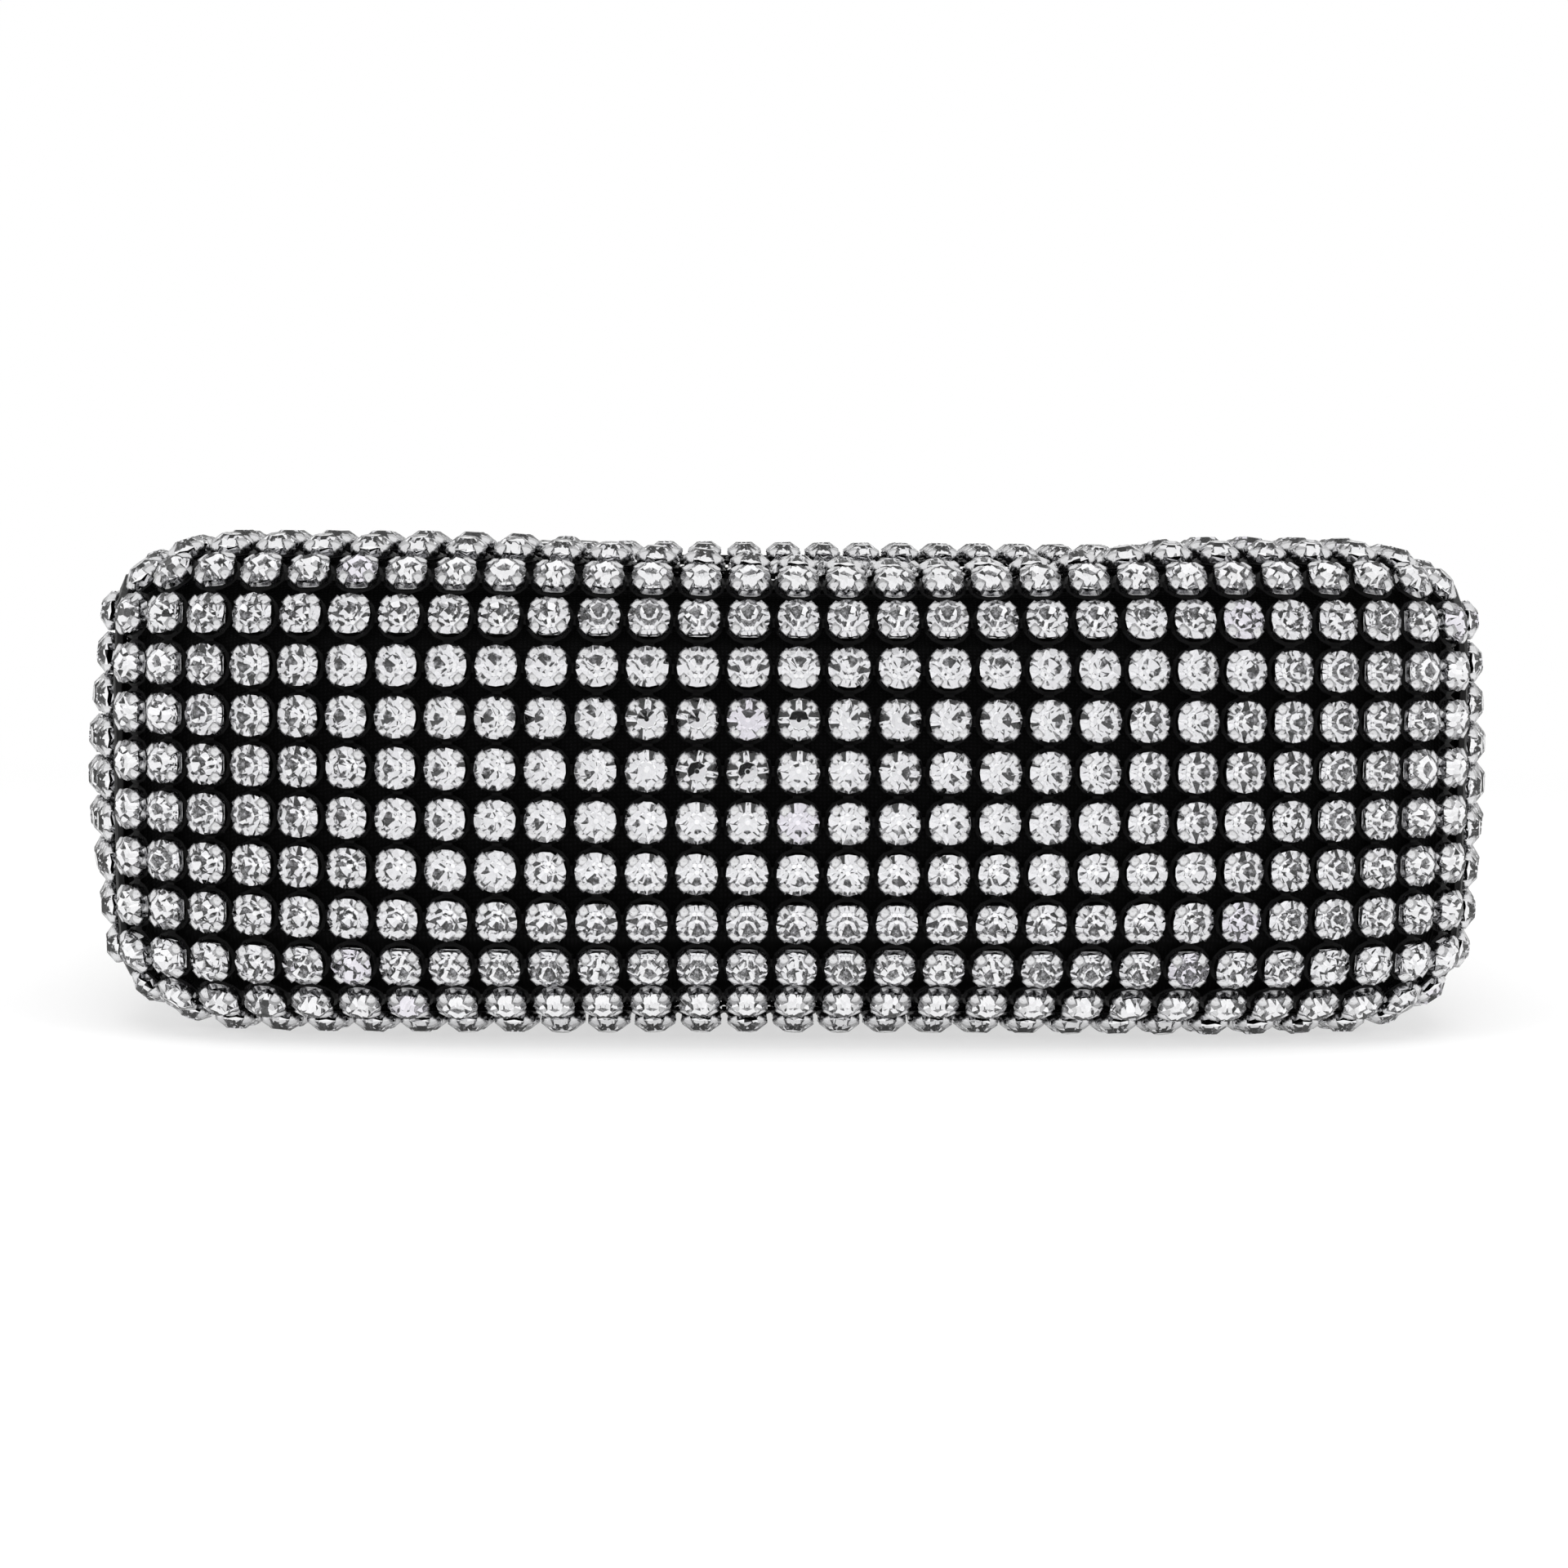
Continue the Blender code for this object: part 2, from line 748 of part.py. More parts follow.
for side, sign in (("left", -1), ("right", 1)):
    snap(side + "_snap_socket", sign * snap_spacing / 2, socket_level)
    snap(side + "_snap_disc", sign * snap_spacing / 2, disc_level, lip_fold)
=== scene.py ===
import math
import random

import bpy
import numpy as np
from mathutils import Matrix, Vector, noise


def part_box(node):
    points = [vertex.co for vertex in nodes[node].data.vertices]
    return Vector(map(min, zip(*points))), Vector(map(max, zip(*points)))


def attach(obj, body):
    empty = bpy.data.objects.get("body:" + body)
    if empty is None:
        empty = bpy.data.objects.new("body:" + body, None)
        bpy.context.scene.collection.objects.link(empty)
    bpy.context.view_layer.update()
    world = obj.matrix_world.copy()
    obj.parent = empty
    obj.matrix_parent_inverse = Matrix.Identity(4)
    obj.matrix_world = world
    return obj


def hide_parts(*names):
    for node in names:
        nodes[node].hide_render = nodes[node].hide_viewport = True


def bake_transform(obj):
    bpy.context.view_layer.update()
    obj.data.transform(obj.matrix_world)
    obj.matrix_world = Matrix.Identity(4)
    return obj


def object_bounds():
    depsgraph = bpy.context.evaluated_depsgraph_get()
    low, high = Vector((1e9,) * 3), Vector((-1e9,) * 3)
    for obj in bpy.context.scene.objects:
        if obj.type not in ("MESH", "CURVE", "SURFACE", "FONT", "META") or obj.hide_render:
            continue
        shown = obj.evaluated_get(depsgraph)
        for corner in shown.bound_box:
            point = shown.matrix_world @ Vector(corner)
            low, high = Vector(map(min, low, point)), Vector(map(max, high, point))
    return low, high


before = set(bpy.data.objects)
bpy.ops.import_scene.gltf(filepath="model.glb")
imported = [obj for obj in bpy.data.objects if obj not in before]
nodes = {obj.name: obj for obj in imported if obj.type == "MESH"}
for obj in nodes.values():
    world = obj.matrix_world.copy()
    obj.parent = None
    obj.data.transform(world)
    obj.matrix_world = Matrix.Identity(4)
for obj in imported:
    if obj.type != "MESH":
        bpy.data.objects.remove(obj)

cad_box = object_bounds()

# Photographer's table: the pouch lies on white paper under one large and two small soft lamps. A dark felt flag stands
# behind the camera, and the crystals' dark facets are its reflections. None of it is part of the pouch.


def linear(code):
    """An sRGB hex colour in linear light."""
    shares = [int(code[place:place + 2], 16) / 255 for place in (1, 3, 5)]
    return (*[share / 12.92 if share <= 0.04045 else ((share + 0.055) / 1.055) ** 2.4 for share in shares], 1)


def add_node(tree, kind, inputs=None, **settings):
    """A node with its settings, and with values or other nodes' outputs on its inputs."""
    made = tree.nodes.new(kind)
    for name, value in settings.items():
        setattr(made, name, value)
    for name, value in (inputs or {}).items():
        if isinstance(value, bpy.types.NodeSocket):
            tree.links.new(value, made.inputs[name])
        else:
            made.inputs[name].default_value = value
    return made


def new_material(name, **values):
    """A material with constants on its shader's sockets, named with _ for a space."""
    made = bpy.data.materials.new(name)
    made.use_nodes = True
    shader = made.node_tree.nodes["Principled BSDF"]
    for socket, value in values.items():
        shader.inputs[socket.replace("_", " ")].default_value = value
    return made, made.node_tree, shader


def deselect():
    for item in bpy.context.selected_objects:
        item.select_set(False)


def background_rays(tree):
    """1 for the rays that show the white background: the camera's, and those that gloss and glass send on."""
    path = add_node(tree, "ShaderNodeLightPath")
    seen = path.outputs["Is Camera Ray"]
    for ray in ("Is Glossy Ray", "Is Transmission Ray"):
        seen = add_node(tree, "ShaderNodeMath", {0: seen, 1: path.outputs[ray]}, operation="MAXIMUM").outputs[0]
    return seen


world = bpy.data.worlds.new("studio_room")
bpy.context.scene.world = world
world.use_nodes = True
room = world.node_tree
strength = add_node(room, "ShaderNodeMix", {0: background_rays(room), 2: 0.55, 3: 1.0}, data_type="FLOAT")
room.nodes["Background"].inputs["Color"].default_value = linear("#FFFFFF")
room.links.new(strength.outputs[0], room.nodes["Background"].inputs["Strength"])

deselect()
bpy.ops.mesh.primitive_plane_add(size=6, location=(0, 0, cad_box[0][2]))
paper = bpy.context.object
paper.name = "paper"
# Uncoated paper, lit to a clean white away from the pouch, while its shadow near the pouch stays.
white_paper, tree, shader = new_material("white_paper", Roughness=0.9, Specular_IOR_Level=0.2)
shader.inputs["Base Color"].default_value = linear("#F6F6F6")
glow = add_node(tree, "ShaderNodeEmission", {"Color": linear("#FFFFFF"), "Strength": 1.0})
place = add_node(tree, "ShaderNodeTexCoord").outputs["Object"]
away = add_node(tree, "ShaderNodeVectorMath", {0: place}, operation="LENGTH").outputs["Value"]
whiter = add_node(tree, "ShaderNodeMapRange", {"Value": away, "From Min": 0.2, "From Max": 0.6, "To Min": 0.62})
share = add_node(tree, "ShaderNodeMath", {0: background_rays(tree), 1: whiter.outputs[0]}, operation="MULTIPLY")
whitened = add_node(tree, "ShaderNodeMixShader", {0: share.outputs[0], 1: shader.outputs[0], 2: glow.outputs[0]})
tree.links.new(whitened.outputs[0], tree.nodes["Material Output"].inputs["Surface"])
paper.data.materials.append(white_paper)


def lamp(name, place, size, energy):
    light = bpy.data.lights.new(name, "AREA")
    light.shape = "RECTANGLE"
    light.size, light.size_y = size
    light.energy = energy
    made = bpy.data.objects.new(name, light)
    made.location = place
    made.rotation_euler = (-Vector(place)).to_track_quat("-Z", "Y").to_euler()
    made.visible_glossy = made.visible_transmission = False
    bpy.context.scene.collection.objects.link(made)


lamp("overhead_softbox", (0, -0.2, 0.9), (1.0, 0.7), 7)
lamp("left_softbox", (-0.8, -0.55, 0.45), (0.45, 0.6), 4)
lamp("right_softbox", (0.8, -0.55, 0.45), (0.45, 0.6), 4)

camera_data = bpy.data.cameras.new("camera")
camera_data.sensor_width = 36
camera_data.lens = 58.2
camera_data.clip_start = 0.01
camera = bpy.data.objects.new("camera", camera_data)
bpy.context.scene.collection.objects.link(camera)
bpy.context.scene.camera = camera
camera.location = (-0.0102, -0.4100, 0.0666)
camera.rotation_euler = [math.radians(turn) for turn in (85.46, -0.41, -1.31)]
bpy.context.scene.view_settings.view_transform = "Standard"

deselect()
flag_place = (-0.02, -0.62, 0.10)
flag_lean = 83
flag_size = (0.14, 0.12)
bpy.ops.mesh.primitive_plane_add(size=1, location=flag_place, rotation=(math.radians(flag_lean), 0, 0))
flag = bpy.context.object
flag.name = "dark_flag"
flag.scale = (*flag_size, 1)
bpy.ops.object.transform_apply(location=True, rotation=True, scale=True)
flag_felt, tree, shader = new_material("flag_felt", Roughness=1.0, Specular_IOR_Level=0.0)
shader.inputs["Base Color"].default_value = linear("#2A2A2A")
flag.data.materials.append(flag_felt)
flag.visible_camera = False
flag.visible_diffuse = False
flag.visible_shadow = False

# Linings: the pouch, its gussets and its flap are lined with black acetate satin, cut to shape and glued to the
# boards. Satin is smooth with a soft sheen along its threads, and pulls in small ripples towards its edges.


def copy_of_solid(node, name, cuts):
    """A solid's mesh as a new piece: its loose triangles joined, made quads again and cut finer."""
    deselect()
    made = bpy.data.objects.new(name, nodes[node].data.copy())
    bpy.context.scene.collection.objects.link(made)
    made.select_set(True)
    bpy.context.view_layer.objects.active = made
    bpy.ops.object.mode_set(mode="EDIT")
    bpy.ops.mesh.select_all(action="SELECT")
    bpy.ops.mesh.remove_doubles(threshold=0.000002)
    bpy.ops.mesh.tris_convert_to_quads(face_threshold=math.radians(30), shape_threshold=math.radians(50))
    bpy.ops.mesh.subdivide(number_cuts=cuts)
    bpy.ops.object.mode_set(mode="OBJECT")
    made.data.materials.clear()
    return made


def ripple(piece, height, length):
    """Moves a piece's points a little along their normals, in smooth ripples of that height and length."""
    normals = [vertex.normal.copy() for vertex in piece.data.vertices]
    for vertex, normal in zip(piece.data.vertices, normals):
        vertex.co += normal * height * noise.noise(vertex.co / length)


def finish_soft(piece, node, finish, body, angle=50):
    piece.data.materials.append(finish)
    piece.select_set(True)
    bpy.context.view_layer.objects.active = piece
    bpy.ops.object.shade_smooth_by_angle(angle=math.radians(angle))
    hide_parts(node)
    if body:
        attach(piece, body)


def noise_cloud(tree, scale, detail):
    """How thick a soft cloud is at each place on a piece, 0 to 1."""
    place = add_node(tree, "ShaderNodeTexCoord").outputs["Object"]
    return add_node(tree, "ShaderNodeTexNoise", {"Vector": place, "Scale": scale, "Detail": detail}).outputs["Fac"]


def vary_colour(tree, shader, share, dark, light):
    """The shader's colour goes from dark to light, both hex, as the share goes from 0 to 1."""
    shade = add_node(tree, "ShaderNodeMix", {0: share, 6: linear(dark), 7: linear(light)}, data_type="RGBA")
    tree.links.new(shade.outputs[2], shader.inputs["Base Color"])


def vary_roughness(tree, shader, share, least, most):
    rough = add_node(tree, "ShaderNodeMapRange", {"Value": share, "To Min": least, "To Max": most})
    tree.links.new(rough.outputs[0], shader.inputs["Roughness"])


def emboss(tree, shader, height, strength, distance):
    bump = add_node(tree, "ShaderNodeBump", {"Height": height, "Strength": strength, "Distance": distance})
    tree.links.new(bump.outputs[0], shader.inputs["Normal"])


def threads(tree, first, second, spacing):
    """How high the threads stand, 0 to 1, of two sets of threads that far apart across two directions."""
    place = add_node(tree, "ShaderNodeTexCoord").outputs["Object"]
    parts = add_node(tree, "ShaderNodeSeparateXYZ", {0: place})
    heights = []
    for shares in (first, second):
        run = None
        for axis, share in zip("XYZ", shares):
            if share:
                term = add_node(tree, "ShaderNodeMath", {0: parts.outputs[axis], 1: share * 2 * math.pi / spacing},
                                operation="MULTIPLY").outputs[0]
                run = term if run is None else add_node(tree, "ShaderNodeMath", {0: run, 1: term}).outputs[0]
        wave = add_node(tree, "ShaderNodeMath", {0: run}, operation="SINE").outputs[0]
        heights.append(add_node(tree, "ShaderNodeMapRange", {"Value": wave, "From Min": -1.0}).outputs[0])
    return heights


# Acetate satin, woven with long floats: nearly black, with a soft sheen. Its threads, 0.1 mm apart, are drawn at
# 0.4 mm, so that they show.
satin, tree, shader = new_material("black_acetate_satin", Roughness=0.4, Sheen_Weight=0.25, Sheen_Roughness=0.35)
warp, weft = threads(tree, (1, 0, 0), (0, 1, 1), spacing=0.0004)
vary_colour(tree, shader, noise_cloud(tree, scale=120, detail=3), "#0A0A0C", "#1B1B1F")
vary_roughness(tree, shader, weft, least=0.32, most=0.5)
emboss(tree, shader, warp, strength=0.25, distance=0.0001)

linings = {
    "wrap_satin": ("wrap_lining", "body", 3, (0.195, 0.268)),
    "left_side_satin": ("left_side_lining", "body", 3, (0.0825, 0.050)),
    "right_side_satin": ("right_side_lining", "body", 3, (0.0825, 0.050)),
    "flap_satin": ("flap_lining", "flap", 6, (0.188, 0.0645)),
    "lip_satin": ("lip_lining", "lip", 6, (0.188, 0.0149)),
}
for name, (node, body, cuts, cut_size) in linings.items():
    lining = copy_of_solid(node, name, cuts)
    ripple(lining, height=0.00012, length=0.006)
    finish_soft(lining, node, satin, body)

# Slip pocket: a flat satin pocket on the back lining, open towards the mouth, with a folded and stitched hem.
pocket = copy_of_solid("slip_pocket", "pocket_satin", 8)
ripple(pocket, height=0.0001, length=0.007)
finish_soft(pocket, "slip_pocket", satin, "body")

# Boards: greyboard, which is pressed from waste paper and cut with a die, keeps the back, the flap, the lip and the
# front edge flat. It is dull warm grey with darker specks and fibres.
greyboard, tree, shader = new_material("pressed_greyboard", Roughness=0.92)
place = add_node(tree, "ShaderNodeTexCoord").outputs["Object"]
fibre_place = add_node(tree, "ShaderNodeMapping", {"Vector": place, "Scale": (1, 4, 4)})
fibres = add_node(tree, "ShaderNodeTexNoise", {"Vector": fibre_place.outputs[0], "Scale": 450, "Detail": 5})
shade = add_node(tree, "ShaderNodeValToRGB", {0: fibres.outputs["Fac"]})
shade.color_ramp.elements[0].position, shade.color_ramp.elements[1].position = 0.32, 0.68
shade.color_ramp.elements[0].color, shade.color_ramp.elements[1].color = linear("#4E4A43"), linear("#7C766B")
tree.links.new(shade.outputs[0], shader.inputs["Base Color"])
emboss(tree, shader, fibres.outputs["Fac"], strength=0.4, distance=0.0002)
for node in ("back_board", "flap_board", "lip_board", "front_stiffener"):
    nodes[node].data.materials.clear()
    nodes[node].data.materials.append(greyboard)

# Snaps: two thin magnet discs in nickel-plated shells under the lip, and two in the front panel. The plating is
# warm grey and bright, with the fine rings of the turned shell.
nickel, tree, shader = new_material("turned_nickel_plate", Metallic=1.0, Roughness=0.22)
cloud = noise_cloud(tree, scale=2500, detail=2)
vary_colour(tree, shader, cloud, "#BDB9B2", "#D8D5CF")
vary_roughness(tree, shader, cloud, least=0.16, most=0.34)
for node in ("left_snap_disc", "right_snap_disc", "left_snap_socket", "right_snap_socket"):
    nodes[node].data.materials.clear()
    nodes[node].data.materials.append(nickel)

# Padding: thin polyester wadding with black cotton cloth over it, glued under the net all round, and a thick roll of
# it in the lip. The cloth is dead black and matt, and on the flap it runs on to the side edges of the net.
black_cotton, tree, shader = new_material("black_plain_weave_cotton", Roughness=0.95, Specular_IOR_Level=0.15)
warp, weft = threads(tree, (1, 0, 0), (0, 1, 1), spacing=0.0006)
weave = add_node(tree, "ShaderNodeMath", {0: warp, 1: weft}, operation="MULTIPLY").outputs[0]
# Painted shade: the colour is darker between the threads and lighter where they cross, following the same weave as the
# bump.
vary_colour(tree, shader, weave, "#040404", "#101011")
emboss(tree, shader, weave, strength=0.5, distance=0.0002)

swelling_steps = 20
swelling_pressure = 4
least_reach = 1e-9


def swell(pad, furthest):
    """Swells a pad by cloth simulation, with no point moved further than that."""
    rest = np.array([vertex.co for vertex in pad.data.vertices])
    cloth = pad.modifiers.new("swelling", "CLOTH")
    cloth.settings.use_pressure = True
    cloth.settings.uniform_pressure_force = swelling_pressure
    cloth.settings.effector_weights.gravity = 0
    for step in range(1, swelling_steps + 1):
        bpy.context.scene.frame_set(step)
    swollen = pad.evaluated_get(bpy.context.evaluated_depsgraph_get()).data
    moved = np.array([vertex.co for vertex in swollen.vertices]) - rest
    pad.modifiers.remove(cloth)
    bpy.context.scene.frame_set(1)
    reach = np.linalg.norm(moved, axis=1, keepdims=True)
    places = rest + moved * np.minimum(1, furthest / np.maximum(reach, least_reach))
    pad.data.vertices.foreach_set("co", places.ravel().astype(np.float32))
    pad.data.update()


pads = {
    "wrap_pad": ("wrap_padding", "body", 2, 0.5, 1),
    "left_side_pad": ("left_side_padding", "body", 3, 0.5, 1),
    "right_side_pad": ("right_side_padding", "body", 3, 0.5, 1),
    "flap_pad": ("flap_padding", "flap", 6, 0.4, 1.07),
    "lip_pad": ("lip_padding", "lip", 6, 0.7, 1),
}
for name, (node, body, cuts, fill, width_share) in pads.items():
    pad = copy_of_solid(node, name, cuts)
    for vertex in pad.data.vertices:
        vertex.co.x *= width_share
    swell(pad, furthest=0.00022)
    ripple(pad, height=0.0001, length=0.005)
    finish_soft(pad, node, black_cotton, body)

# Piping and binding: a satin-covered cord runs along each side seam, and a folded satin strip binds the mouth. Both
# are drawn tight over their filling and gather in small cross folds.
glossy_satin, tree, shader = new_material("black_satin_binding", Roughness=0.4, Specular_IOR_Level=0.25)
folds = noise_cloud(tree, scale=900, detail=2)
# Painted shade: the colour is darker in the fold hollows and lighter on the crests, following the same folds as the
# bump.
vary_colour(tree, shader, folds, "#030303", "#0C0C0D")
vary_roughness(tree, shader, folds, least=0.25, most=0.6)
emboss(tree, shader, folds, strength=0.6, distance=0.0003)
for name, node in (
    ("left_piping", "left_seam_piping"),
    ("right_piping", "right_seam_piping"),
    ("mouth_strip", "mouth_binding"),
):
    band = copy_of_solid(node, name, 5)
    ripple(band, height=0.0002, length=0.0011)
    finish_soft(band, node, glossy_satin, "body", angle=80)

# Black net: moulded nylon rings joined by short bars in a square net, one ring under each crystal. It is glossy
# black, covers the whole pouch and is glued to the black cloth under it. One more ring is sewn over the seam at each
# corner of the base, where three nets meet.
stone_height = 0.0024
stone_reach = 0.0032
table_leg = (0.0024, 0.0038)
same_facing = 0.75
rounding = 1e6


def read_seats(name):
    """Each crystal's seat on a panel, read from its solid: the middle of its foot and the way it faces.

    A stone in the solid ends in a flat table, which is two triangles with legs within table_leg, or in a point where
    four triangles meet. Triangles that face the same way within same_facing make one table.
    """
    mesh = nodes[name].data
    mesh.calc_loop_triangles()
    places = np.array([vertex.co for vertex in mesh.vertices])
    _, first, index = np.unique(
        np.round(places * rounding).astype(int), axis=0, return_index=True, return_inverse=True
    )
    points = places[first]
    index = index.reshape(-1)
    corners = np.array([index[list(triangle.vertices)] for triangle in mesh.loop_triangles])
    sides = np.stack([points[corners[:, turn - 2]] - points[corners[:, turn]] for turn in range(3)], axis=1)
    facing = np.cross(sides[:, 0], sides[:, 1])
    around, halves = {}, {}
    for number, triangle in enumerate(corners):
        if len(set(triangle)) < 3:
            continue
        for place in triangle:
            around.setdefault(int(place), []).append(number)
        lengths = np.linalg.norm(sides[number], axis=1)
        longest = int(np.argmax(lengths))
        if table_leg[0] < np.sort(lengths)[0] and np.sort(lengths)[1] < table_leg[1]:
            ends = sorted((int(triangle[longest - 2]), int(triangle[longest])))
            halves.setdefault(tuple(ends), []).append(number)
    found = []
    table_corners = set()
    for pair in halves.values():
        if len(pair) == 2:
            a, b = (facing[number] / np.linalg.norm(facing[number]) for number in pair)
            if a @ b > same_facing:
                feet = sorted({int(place) for number in pair for place in corners[number]})
                table_corners.update(feet)
                up = (a + b) / np.linalg.norm(a + b)
                found.append((points[feet].mean(axis=0) - up * stone_reach, up))
    for tip, group in around.items():
        feet = sorted({int(place) for number in group for place in corners[number]} - {tip})
        if len(group) == 4 and len(feet) == 4 and tip not in table_corners:
            up = facing[group].sum(axis=0)
            up /= np.linalg.norm(up)
            if (points[tip] - points[feet].mean(axis=0)) @ up > stone_height / 2:
                found.append((points[tip] - up * stone_reach, up))
    return found


panels = {
    "base": ("base_crystals", "body"),
    "front": ("front_crystals", "body"),
    "back": ("back_crystals", "body"),
    "left_side": ("left_side_crystals", "body"),
    "right_side": ("right_side_crystals", "body"),
    "flap": ("flap_crystals", "flap"),
    "lip": ("lip_crystals", "lip"),
}
stone_diameter = 0.00594
seat_gap = 0.0001
corner_seats = [
    (np.array((side * 0.0940, -0.0365, height)), np.array((side * 0.62, -0.30, lean)))
    for side in (-1, 1)
    for height, lean in ((0.0662, 0.72), (0.0076, -0.72))
]
seat_matrices = {}
for panel, (node, body) in panels.items():
    matrices = []
    found = read_seats(node) + (corner_seats if panel == "base" else [])
    places = np.array([place for place, up in found])
    along = Vector((0, 1, 0)) if "side" in panel else Vector((1, 0, 0))
    for place, up in found:
        up = Vector(up)
        across = (along - along.dot(up) * up).normalized()
        nearest = np.sort(np.linalg.norm(places - place, axis=1))[1]
        size = min(1, nearest / (stone_diameter + seat_gap))
        frame_of_seat = Matrix((across, up.cross(across), up)).transposed().to_4x4()
        matrices.append(Matrix.Translation(place) @ frame_of_seat @ Matrix.Diagonal((size, size, 1, 1)))
    seat_matrices[panel] = matrices


def copy_to_seats(name, pattern, matrices, body):
    """One piece made of a copy of the pattern's mesh at each seat, with a number from 0 to 1 for each copy."""
    mesh = pattern.data
    points = np.array([[*vertex.co, 1] for vertex in mesh.vertices])
    faces = [tuple(face.vertices) for face in mesh.polygons]
    slots = [face.material_index for face in mesh.polygons]
    smooth = [face.use_smooth for face in mesh.polygons]
    all_points = np.concatenate([(points @ np.array(matrix).T)[:, :3] for matrix in matrices])
    all_faces = [tuple(place + copy * len(points) for place in face)
                 for copy in range(len(matrices)) for face in faces]
    made_mesh = bpy.data.meshes.new(name)
    made_mesh.from_pydata(all_points.tolist(), [], all_faces)
    for finish in mesh.materials:
        made_mesh.materials.append(finish)
    made_mesh.polygons.foreach_set("material_index", slots * len(matrices))
    made_mesh.polygons.foreach_set("use_smooth", smooth * len(matrices))
    marks = np.repeat(np.random.default_rng(len(matrices)).random(len(matrices)), len(points))
    made_mesh.attributes.new("copy_mark", "FLOAT", "POINT").data.foreach_set("value", marks.astype(np.float32))
    made = bpy.data.objects.new(name, made_mesh)
    bpy.context.scene.collection.objects.link(made)
    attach(made, body)
    return made


black_nylon, tree, shader = new_material("moulded_black_nylon", Roughness=0.4, Specular_IOR_Level=0.1)
cloud = noise_cloud(tree, scale=900, detail=2)
vary_colour(tree, shader, cloud, "#030303", "#0A0A0B")
vary_roughness(tree, shader, cloud, least=0.3, most=0.55)

ring_radius = 0.00318
ring_wire = 0.00032
ring_level = 0.0003
bar_width, bar_height, bar_level = 0.0014, 0.0007, 0.0
net_pitch = 0.0070
deselect()
bpy.ops.mesh.primitive_torus_add(
    major_segments=14, minor_segments=3, major_radius=ring_radius, minor_radius=ring_wire, location=(0, 0, ring_level)
)
link = bpy.context.object
link.name = "net_link_pattern"
bpy.ops.object.transform_apply(location=True)
bpy.ops.object.mode_set(mode="EDIT")
for turn in range(4):
    bar = Matrix.Rotation(math.pi / 2 * turn, 4, "Z") @ Vector(((net_pitch / 2 + ring_radius) / 2, 0, bar_level))
    size = (net_pitch / 2 - ring_radius + ring_wire, bar_width, bar_height)
    bpy.ops.mesh.primitive_cube_add(size=1, location=bar, rotation=(0, 0, math.pi / 2 * turn), scale=size)
bpy.ops.object.mode_set(mode="OBJECT")
link.data.materials.append(black_nylon)
for panel, (node, body) in panels.items():
    net = copy_to_seats(panel + "_net", link, seat_matrices[panel], body)
    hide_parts(node)
bpy.data.objects.remove(link)

# Cups: each crystal is held by a pressed brass cup, silver plated, whose four corners are folded over its crown. From
# outside only the folded prongs show, at the diagonals, as small bright pads with square shoulders.
silver_plate, tree, shader = new_material("silver_plated_brass", Metallic=1.0, Roughness=0.18)
cloud = noise_cloud(tree, scale=1500, detail=3)
vary_colour(tree, shader, cloud, "#D4D4D6", "#E4E4E5")
vary_roughness(tree, shader, cloud, least=0.15, most=0.35)

prong_width = 0.00124
prong_foot = (0.00308, 0.0002)
pan_reach, pan_level = 0.0015, -0.00079
prong_bends = [(0.00318, 0.00150, 1.0), (0.00310, 0.00188, 1.0), (0.00213, 0.00251, 0.92)]
same_level = 1e-6
deselect()
bpy.ops.mesh.primitive_plane_add(size=prong_width, location=(0, 0, 0))
prongs = bpy.context.object
prongs.name = "prongs_pattern"
for vertex in prongs.data.vertices:
    radius, height, _ = (*prong_foot, 1) if vertex.co.x < 0 else prong_bends[0]
    vertex.co = (radius, vertex.co.y, height)
for place, (radius, height, width) in zip(prong_bends, prong_bends[1:]):
    bpy.ops.object.mode_set(mode="OBJECT")
    for edge in prongs.data.edges:
        ends = [prongs.data.vertices[number].co for number in edge.vertices]
        edge.select = all(abs(end.z - place[1]) < same_level for end in ends)
    for vertex in prongs.data.vertices:
        vertex.select = abs(vertex.co.z - place[1]) < same_level
    bpy.ops.object.mode_set(mode="EDIT")
    bpy.ops.mesh.extrude_region_move(
        TRANSFORM_OT_translate={"value": (radius - place[0], 0, height - place[1])}
    )
    bpy.ops.transform.resize(value=(1, width, 1))
bpy.ops.mesh.select_all(action="SELECT")
bpy.ops.mesh.spin(steps=3, dupli=True, angle=math.radians(270), center=(0, 0, 0), axis=(0, 0, 1))
bpy.ops.mesh.primitive_cone_add(
    vertices=4, radius1=pan_reach, radius2=prong_foot[0], depth=prong_foot[1] - pan_level,
    location=(0, 0, (prong_foot[1] + pan_level) / 2), end_fill_type="NOTHING"
)
bpy.ops.mesh.primitive_circle_add(vertices=4, radius=pan_reach, location=(0, 0, pan_level), fill_type="NGON")
bpy.ops.mesh.select_all(action="SELECT")
bpy.ops.mesh.remove_doubles(threshold=0.00001)
bpy.ops.mesh.normals_make_consistent(inside=False)
bpy.ops.object.mode_set(mode="OBJECT")
prongs.rotation_euler.z = math.radians(45)
bpy.ops.object.transform_apply(rotation=True)
thick = prongs.modifiers.new("metal", "SOLIDIFY")
thick.thickness = 0.00016
thick.offset = 1
bpy.ops.object.modifier_apply(modifier="metal")
bpy.ops.object.shade_smooth_by_angle(angle=math.radians(20))
prongs.data.materials.append(silver_plate)
for panel, (node, body) in panels.items():
    made = copy_to_seats(panel + "_prongs", prongs, seat_matrices[panel], body)
bpy.data.objects.remove(prongs)

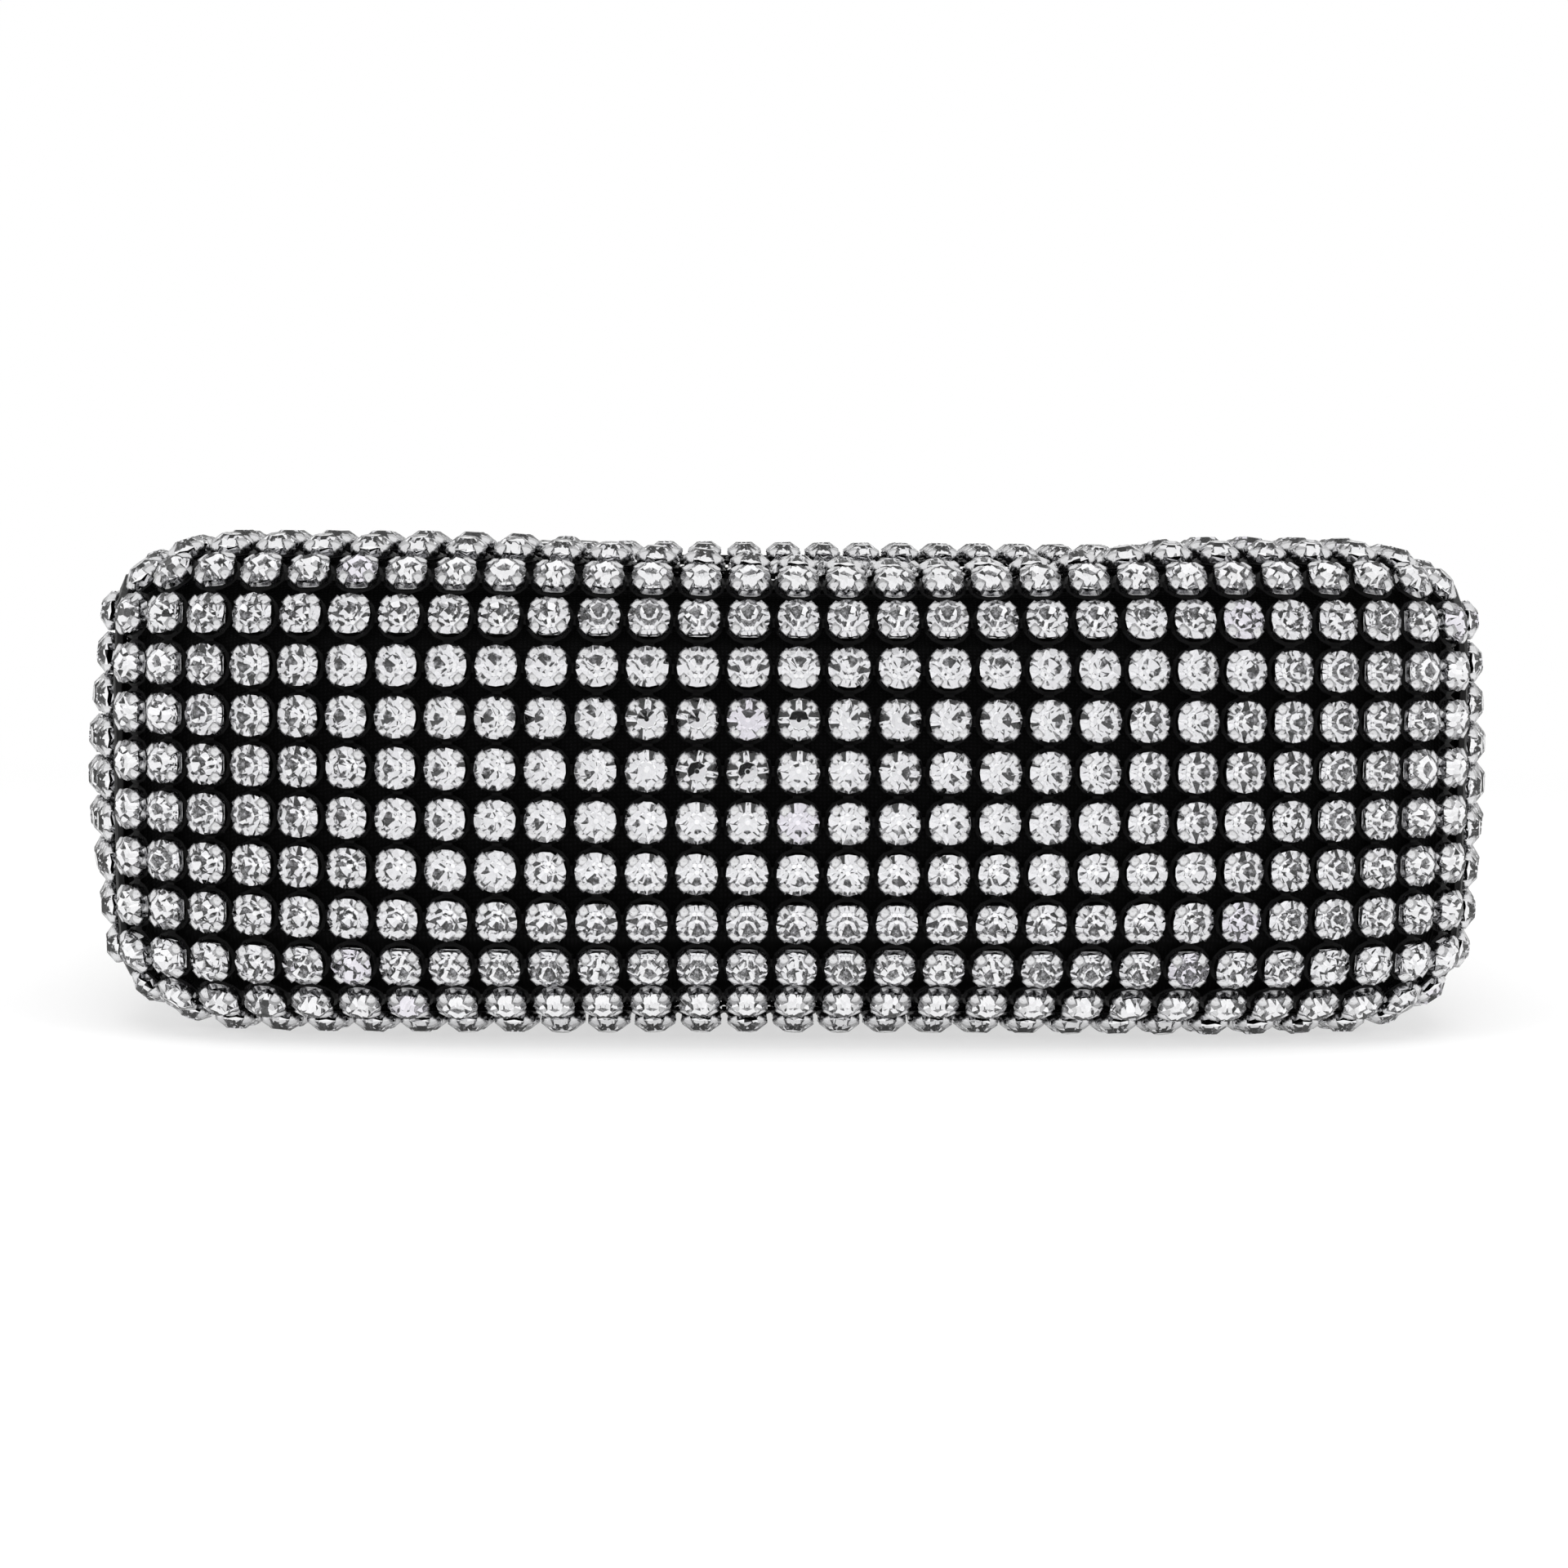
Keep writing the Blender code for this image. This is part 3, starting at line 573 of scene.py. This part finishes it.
# Crystals: round lead-glass chatons of about 6 mm with a brilliant-cut crown and a blunt point, and silver foil behind
# their pavilion. The foil throws the light back through the crown: white facets with a few dark ones.
girdle_radius = stone_diameter / 2
girdle_level = 0.00172
girdle_edge = 0.00004
table_radius, table_level = 0.00138, 0.00318
culet_radius, culet_level = 0.00035, -0.00071
half_facet_turn = 22.5
flat_share = math.cos(math.pi / 8)
facet_inset = girdle_radius * (1 - flat_share)
crown_rise = facet_inset * (table_level - girdle_level) / (girdle_radius - table_radius * flat_share)
pavilion_rise = facet_inset * (girdle_level - culet_level) / (girdle_radius - culet_radius * flat_share)
stone_turn, stone_lean = 7, 2.2

crown_glass, tree, shader = new_material("cut_lead_glass", Roughness=0.0, IOR=1.56, Transmission_Weight=1.0)
mark = add_node(tree, "ShaderNodeAttribute", attribute_name="copy_mark").outputs["Fac"]
tint = add_node(tree, "ShaderNodeValToRGB", {0: mark})
tint.color_ramp.interpolation = "CONSTANT"
tint.color_ramp.elements[0].color = linear("#FFFFFF")
tint.color_ramp.elements[1].position = 0.96
tint.color_ramp.elements[1].color = linear("#F9F6FC")
tree.links.new(tint.outputs[0], shader.inputs["Base Color"])
foil, tree, shader = new_material("mirror_foil", Metallic=1.0, Roughness=0.02)
vary_colour(tree, shader, noise_cloud(tree, scale=700, detail=1), "#EDEDEF", "#F5F5F6")

deselect()
bpy.ops.mesh.primitive_circle_add(vertices=8, radius=table_radius, location=(0, 0, table_level))
stone = bpy.context.object
stone.name = "stone_pattern"
bpy.ops.object.mode_set(mode="EDIT")
for radius, level, turn in (
    (girdle_radius, girdle_level + girdle_edge, half_facet_turn),
    (girdle_radius, girdle_level + girdle_edge + crown_rise, 0),
    (girdle_radius, girdle_level - girdle_edge, half_facet_turn),
    (girdle_radius, girdle_level - girdle_edge - pavilion_rise, 0),
    (culet_radius, culet_level, 0),
):
    bpy.ops.mesh.primitive_circle_add(
        vertices=8, radius=radius, location=(0, 0, level), rotation=(0, 0, math.radians(turn))
    )
bpy.ops.mesh.select_all(action="SELECT")
bpy.ops.mesh.convex_hull()
bpy.ops.mesh.dissolve_limited(angle_limit=math.radians(2))
bpy.ops.mesh.normals_make_consistent(inside=False)
bpy.ops.object.mode_set(mode="OBJECT")
bpy.ops.object.transform_apply(location=True)
stone.data.materials.append(crown_glass)
stone.data.materials.append(foil)
for face in stone.data.polygons:
    face.material_index = int(face.center.z < girdle_level - same_level)
for panel, (node, body) in panels.items():
    random.seed(panel)
    tilted = []
    for matrix in seat_matrices[panel]:
        turn = random.gauss(0, stone_turn)
        lean_x, lean_y = random.gauss(0, stone_lean), random.gauss(0, stone_lean)
        loose = (Matrix.Rotation(math.radians(turn), 4, "Z") @ Matrix.Rotation(math.radians(lean_x), 4, "X")
                 @ Matrix.Rotation(math.radians(lean_y), 4, "Y"))
        middle = Matrix.Translation((0, 0, girdle_level))
        tilted.append(matrix @ middle @ loose @ middle.inverted())
    made = copy_to_seats(panel + "_stones", stone, tilted, body)
bpy.data.objects.remove(stone)

# Fold tapes: a strip of black cotton tape joins the flap to the back panel, and another the lip to the flap, each
# with a cord in its fold.
tape_length_share = 0.972
for name, node, bodies, start, end in (
    ("flap_tape", "flap_hinge_tape", ("body", "flap"), (0, 0, -0.0011), (0, 0, 0.0011)),
    ("lip_tape", "lip_fold_tape", ("flap", "lip"), (0, 0, -0.0011), (0, 0, 0.0011)),
):
    tape = copy_of_solid(node, name, 5)
    for vertex in tape.data.vertices:
        vertex.co.x *= tape_length_share
    ripple(tape, height=0.00012, length=0.0012)
    finish_soft(tape, node, black_cotton, None, angle=80)
    low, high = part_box(node)
    middle = (low + high) / 2
    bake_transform(tape)

# Hinge facing: a narrow strip of black cotton, glued over the cups of the back net's last row, between the padding and
# the flap's tape. It is the same tape pressed flat, and shows only when the flap is open.
facing_place = Vector((0, 0.0562, 0.00431))
facing_shares = Vector((0.968, 2.0, 0.12))
facing = copy_of_solid("flap_hinge_tape", "hinge_facing", 5)
low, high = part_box("flap_hinge_tape")
middle = (low + high) / 2
for vertex in facing.data.vertices:
    vertex.co = facing_place + (vertex.co - middle) * facing_shares
facing.data.materials.append(black_cotton)
facing.select_set(True)
bpy.context.view_layer.objects.active = facing
bpy.ops.object.shade_smooth_by_angle(angle=math.radians(50))
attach(facing, "body")
